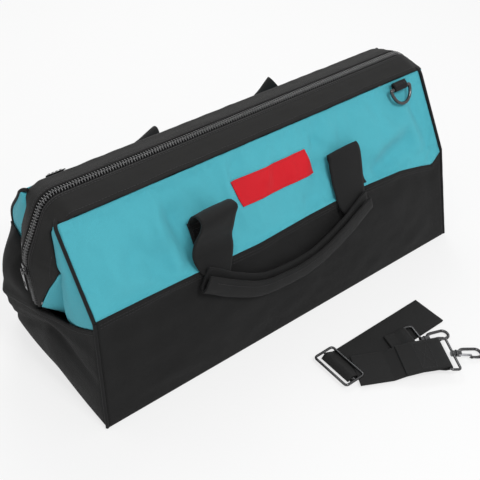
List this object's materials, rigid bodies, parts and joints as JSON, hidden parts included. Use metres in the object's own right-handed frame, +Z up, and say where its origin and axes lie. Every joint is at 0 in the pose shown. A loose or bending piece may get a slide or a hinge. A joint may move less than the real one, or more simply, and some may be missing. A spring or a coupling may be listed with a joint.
{
  "type": "tool bag",
  "caption": "Wide-mouth fabric tool bag with a wire-framed zip mouth, web handles, D-rings and a loose shoulder strap with snap hooks",
  "frame": {"origin": "centre of the base's underside, on the floor", "axes": "+Z up, +X towards the bag's right end, -Y towards the front side with the label patch; the shoulder strap lies on the floor in front of it"},
  "size_m": [0.6386, 0.4541, 0.2696],
  "materials": {
    "teal_nylon": "matt woven nylon",
    "black_nylon": "matt coarse woven nylon",
    "black_webbing": "ribbed webbing, slight sheen",
    "red_patch": "plain sewn patch",
    "zip_coil": "semi-gloss nylon coil",
    "base_board": "matt board",
    "steel_wire": "drawn wire",
    "gunmetal": "glossy black-nickel plating"
  },
  "bodies": {
    "bag": {"base_panel": "black_nylon", "base_board": "base_board", "lower_front_panel": "black_nylon", "lower_rear_panel": "black_nylon", "lower_left_end": "black_nylon", "lower_right_end": "black_nylon", "upper_front_panel": "teal_nylon", "upper_rear_panel": "teal_nylon", "front_left_gusset": "teal_nylon", "front_right_gusset": "teal_nylon", "rear_left_gusset": "teal_nylon", "rear_right_gusset": "teal_nylon", "front_left_lower_piping": "black_webbing", "front_right_lower_piping": "black_webbing", "rear_left_lower_piping": "black_webbing", "rear_right_lower_piping": "black_webbing", "front_left_upper_piping": "black_webbing", "front_right_upper_piping": "black_webbing", "rear_left_upper_piping": "black_webbing", "rear_right_upper_piping": "black_webbing", "label_patch": "red_patch", "left_pivot_rivet": "steel_wire", "right_pivot_rivet": "steel_wire"},
    "front_mouth": {"front_mouth_band": "black_nylon", "front_wire_frame": "steel_wire", "front_zip_tape": "black_webbing", "front_zip_coil": "zip_coil", "front_d_ring_tab": "black_webbing"},
    "rear_mouth": {"rear_mouth_band": "black_nylon", "rear_wire_frame": "steel_wire", "rear_zip_tape": "black_webbing", "rear_zip_coil": "zip_coil", "rear_d_ring_tab": "black_webbing"},
    "front_handle_mount": {"front_handle_left_anchor": "black_webbing", "front_handle_right_anchor": "black_webbing"},
    "rear_handle_mount": {"rear_handle_left_anchor": "black_webbing", "rear_handle_right_anchor": "black_webbing"},
    "front_handle": {"front_handle_left_strap": "black_webbing", "front_handle_right_strap": "black_webbing", "front_handle_grip": "black_webbing"},
    "rear_handle": {"rear_handle_left_strap": "black_webbing", "rear_handle_right_strap": "black_webbing", "rear_handle_grip": "black_webbing"},
    "front_d_ring": {"front_d_ring": "gunmetal"},
    "rear_d_ring": {"rear_d_ring": "gunmetal"},
    "zip_slider": {"zip_slider": "gunmetal"},
    "zip_pull": {"zip_pull": "gunmetal"},
    "shoulder_strap": {"shoulder_webbing": "black_webbing", "shoulder_webbing_end": "black_webbing", "shoulder_webbing_tab": "black_webbing", "tri_glide": "gunmetal", "hook_one_loop": "gunmetal", "hook_two_loop": "gunmetal"},
    "hook_one": {"hook_one_body": "gunmetal"},
    "hook_two": {"hook_two_body": "gunmetal"},
    "hook_one_gate": {"hook_one_gate": "steel_wire"},
    "hook_two_gate": {"hook_two_gate": "steel_wire"}
  },
  "joints": [
    {"name": "front_mouth_open", "type": "hinge", "parent": "bag", "child": "front_mouth", "pos_m": [0, 0, 0.1265], "axis": [1, 0, 0], "range_deg": [0, 35], "deforming": ["upper_front_panel", "front_left_gusset", "front_right_gusset", "front_left_upper_piping", "front_right_upper_piping", "label_patch"]},
    {"name": "rear_mouth_open", "type": "hinge", "parent": "bag", "child": "rear_mouth", "pos_m": [0, 0, 0.1265], "axis": [-1, 0, 0], "range_deg": [0, 35], "deforming": ["upper_rear_panel", "rear_left_gusset", "rear_right_gusset", "rear_left_upper_piping", "rear_right_upper_piping"]},
    {"name": "front_handle_follow", "type": "slide", "parent": "bag", "child": "front_handle_mount", "axis": [0, -0.5591, -0.8291], "range_m": [0, 0.03], "deforming": ["front_handle_left_anchor", "front_handle_right_anchor"]},
    {"name": "rear_handle_follow", "type": "slide", "parent": "bag", "child": "rear_handle_mount", "axis": [0, 0.5591, -0.8291], "range_m": [0, 0.03], "deforming": ["rear_handle_left_anchor", "rear_handle_right_anchor"]},
    {"name": "front_handle_lift", "type": "hinge", "parent": "front_handle_mount", "child": "front_handle", "pos_m": [0, -0.07462, 0.20365], "axis": [-1, 0, 0], "range_deg": [0, 145], "deforming": ["front_handle_left_strap", "front_handle_right_strap"]},
    {"name": "rear_handle_lift", "type": "hinge", "parent": "rear_handle_mount", "child": "rear_handle", "pos_m": [0, 0.07462, 0.20365], "axis": [1, 0, 0], "range_deg": [0, 145], "deforming": ["rear_handle_left_strap", "rear_handle_right_strap"]},
    {"name": "front_d_ring_swing", "type": "hinge", "parent": "front_mouth", "child": "front_d_ring", "pos_m": [0.235, -0.05213, 0.2493], "axis": [-1, 0, 0], "range_deg": [0, 150]},
    {"name": "rear_d_ring_swing", "type": "hinge", "parent": "rear_mouth", "child": "rear_d_ring", "pos_m": [-0.235, 0.05213, 0.2493], "axis": [1, 0, 0], "range_deg": [0, 150]},
    {"name": "zip_slide", "type": "slide", "parent": "rear_mouth", "child": "zip_slider", "axis": [0, 0, -1], "range_m": [0, 0.03]},
    {"name": "zip_pull_flip", "type": "hinge", "parent": "zip_slider", "child": "zip_pull", "pos_m": [-0.3165, 0, 0.181], "axis": [0, 1, 0], "range_deg": [0, 150]},
    {"name": "strap_lift", "type": "slide", "parent": "bag", "child": "shoulder_strap", "axis": [0, 0, 1], "range_m": [0, 0.3]},
    {"name": "hook_one_swivel", "type": "hinge", "parent": "shoulder_strap", "child": "hook_one", "pos_m": [0.0882, -0.2553, 0.0083], "axis": [0.9613, -0.2576, -0.0976], "continuous": true},
    {"name": "hook_two_swivel", "type": "hinge", "parent": "shoulder_strap", "child": "hook_two", "pos_m": [0.10071, -0.29544, 0.0134], "axis": [0.8752, -0.446, -0.1874], "continuous": true},
    {"name": "hook_one_gate", "type": "hinge", "parent": "hook_one", "child": "hook_one_gate", "pos_m": [0.10882, -0.26292, 0.00615], "axis": [0.0943, -0.0253, 0.9952], "range_deg": [0, 22], "stiffness_Nm_per_rad": 0.02, "springref_deg": -5.73},
    {"name": "hook_two_gate", "type": "hinge", "parent": "hook_two", "child": "hook_two_gate", "pos_m": [0.11905, -0.30706, 0.00928], "axis": [0.167, -0.0851, 0.9823], "range_deg": [0, 22], "stiffness_Nm_per_rad": 0.02, "springref_deg": -5.73}
  ],
  "couplings": [
    {"joint": "front_handle_follow", "follows": "front_mouth_open", "m_per_rad": 0.0486},
    {"joint": "rear_handle_follow", "follows": "rear_mouth_open", "m_per_rad": 0.0486}
  ]
}
